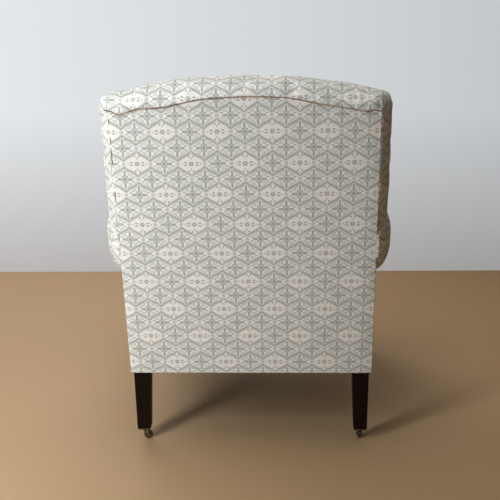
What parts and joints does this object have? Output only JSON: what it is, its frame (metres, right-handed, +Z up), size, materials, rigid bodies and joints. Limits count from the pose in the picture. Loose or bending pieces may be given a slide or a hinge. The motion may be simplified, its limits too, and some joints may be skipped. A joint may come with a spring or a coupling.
{
  "type": "upholstered library armchair",
  "caption": "Low upholstered armchair with a raked back, rolled arms, a loose seat cushion and tapered wooden legs on brass castors.",
  "frame": {"origin": "on the floor, under the middle of the chair's box", "axes": "the chair faces -Y, its outside back faces +Y, +X is the side named right, +Z is up"},
  "size_m": [0.7034, 0.8585, 0.9114],
  "materials": {
    "printed_linen": "matt cream linen with a grey-green ogee lattice print",
    "leg_wood": "near-black brown polish, worn at the edges",
    "frame_beech": "sawn and unpolished",
    "jute": "woven jute webbing",
    "hessian": "hessian over hair stuffing",
    "black_cloth": "matt black bottoming cloth",
    "spring_steel": "lacquered spring wire",
    "aged_brass": "aged brass, brighter where it rubs",
    "wheel_wood": "dark turned hardwood, waxed"
  },
  "bodies": {
    "chair": {"rear_leg_left": "leg_wood", "rear_leg_right": "leg_wood", "front_leg_left": "leg_wood", "front_leg_right": "leg_wood", "seat_rail_front": "frame_beech", "seat_rail_rear": "frame_beech", "seat_rail_left": "frame_beech", "seat_rail_right": "frame_beech", "corner_block_front_left": "frame_beech", "corner_block_front_right": "frame_beech", "corner_block_rear_left": "frame_beech", "corner_block_rear_right": "frame_beech", "arm_post_left": "frame_beech", "arm_post_right": "frame_beech", "arm_rail_left": "frame_beech", "arm_rail_right": "frame_beech", "back_top_rail": "frame_beech", "back_lower_rail": "frame_beech", "seat_webbing": "jute", "back_webbing": "jute", "seat_spring_1": "spring_steel", "seat_spring_2": "spring_steel", "seat_spring_3": "spring_steel", "seat_spring_4": "spring_steel", "seat_spring_5": "spring_steel", "seat_spring_6": "spring_steel", "seat_spring_7": "spring_steel", "seat_spring_8": "spring_steel", "seat_spring_9": "spring_steel", "seat_deck": "hessian", "bottoming_cloth": "black_cloth", "outside_back": "printed_linen", "inside_back": "printed_linen", "back_border_left": "printed_linen", "back_border_right": "printed_linen", "back_top_roll": "printed_linen", "arm_pad_left": "printed_linen", "arm_pad_right": "printed_linen", "arm_facing_left": "printed_linen", "arm_facing_right": "printed_linen", "outside_arm_left": "printed_linen", "outside_arm_right": "printed_linen", "front_border": "printed_linen", "castor_plate_rear_left": "aged_brass", "castor_plate_rear_right": "aged_brass", "castor_plate_front_left": "aged_brass", "castor_plate_front_right": "aged_brass"},
    "cushion": {"seat_cushion": "printed_linen"},
    "swivel_rear_left": {"castor_fork_rear_left": "aged_brass", "castor_axle_rear_left": "aged_brass"},
    "swivel_rear_right": {"castor_fork_rear_right": "aged_brass", "castor_axle_rear_right": "aged_brass"},
    "swivel_front_left": {"castor_fork_front_left": "aged_brass", "castor_axle_front_left": "aged_brass"},
    "swivel_front_right": {"castor_fork_front_right": "aged_brass", "castor_axle_front_right": "aged_brass"},
    "wheel_rear_left": {"castor_wheel_rear_left": "wheel_wood"},
    "wheel_rear_right": {"castor_wheel_rear_right": "wheel_wood"},
    "wheel_front_left": {"castor_wheel_front_left": "wheel_wood"},
    "wheel_front_right": {"castor_wheel_front_right": "wheel_wood"}
  },
  "joints": [
    {"name": "cushion_lift", "type": "slide", "parent": "chair", "child": "cushion", "axis": [0, 0, 1], "range_m": [0, 0.33]},
    {"name": "rear_left_swivel", "type": "hinge", "parent": "chair", "child": "swivel_rear_left", "pos_m": [-0.271, 0.25546, 0.027], "axis": [0, 0, 1], "continuous": true},
    {"name": "rear_right_swivel", "type": "hinge", "parent": "chair", "child": "swivel_rear_right", "pos_m": [0.271, 0.25546, 0.027], "axis": [0, 0, 1], "continuous": true},
    {"name": "front_left_swivel", "type": "hinge", "parent": "chair", "child": "swivel_front_left", "pos_m": [-0.271, -0.3987, 0.027], "axis": [0, 0, 1], "continuous": true},
    {"name": "front_right_swivel", "type": "hinge", "parent": "chair", "child": "swivel_front_right", "pos_m": [0.271, -0.3987, 0.027], "axis": [0, 0, 1], "continuous": true},
    {"name": "rear_left_roll", "type": "hinge", "parent": "swivel_rear_left", "child": "wheel_rear_left", "pos_m": [-0.27016, 0.24751, 0.011], "axis": [0.9945, 0.1045, 0], "continuous": true},
    {"name": "rear_right_roll", "type": "hinge", "parent": "swivel_rear_right", "child": "wheel_rear_right", "pos_m": [0.26301, 0.25504, 0.011], "axis": [0.0523, -0.9986, 0], "continuous": true},
    {"name": "front_left_roll", "type": "hinge", "parent": "swivel_front_left", "child": "wheel_front_left", "pos_m": [-0.26853, -0.39109, 0.011], "axis": [-0.9511, 0.309, 0], "continuous": true},
    {"name": "front_right_roll", "type": "hinge", "parent": "swivel_front_right", "child": "wheel_front_right", "pos_m": [0.26724, -0.39164, 0.011], "axis": [-0.8829, -0.4695, 0], "continuous": true}
  ]
}
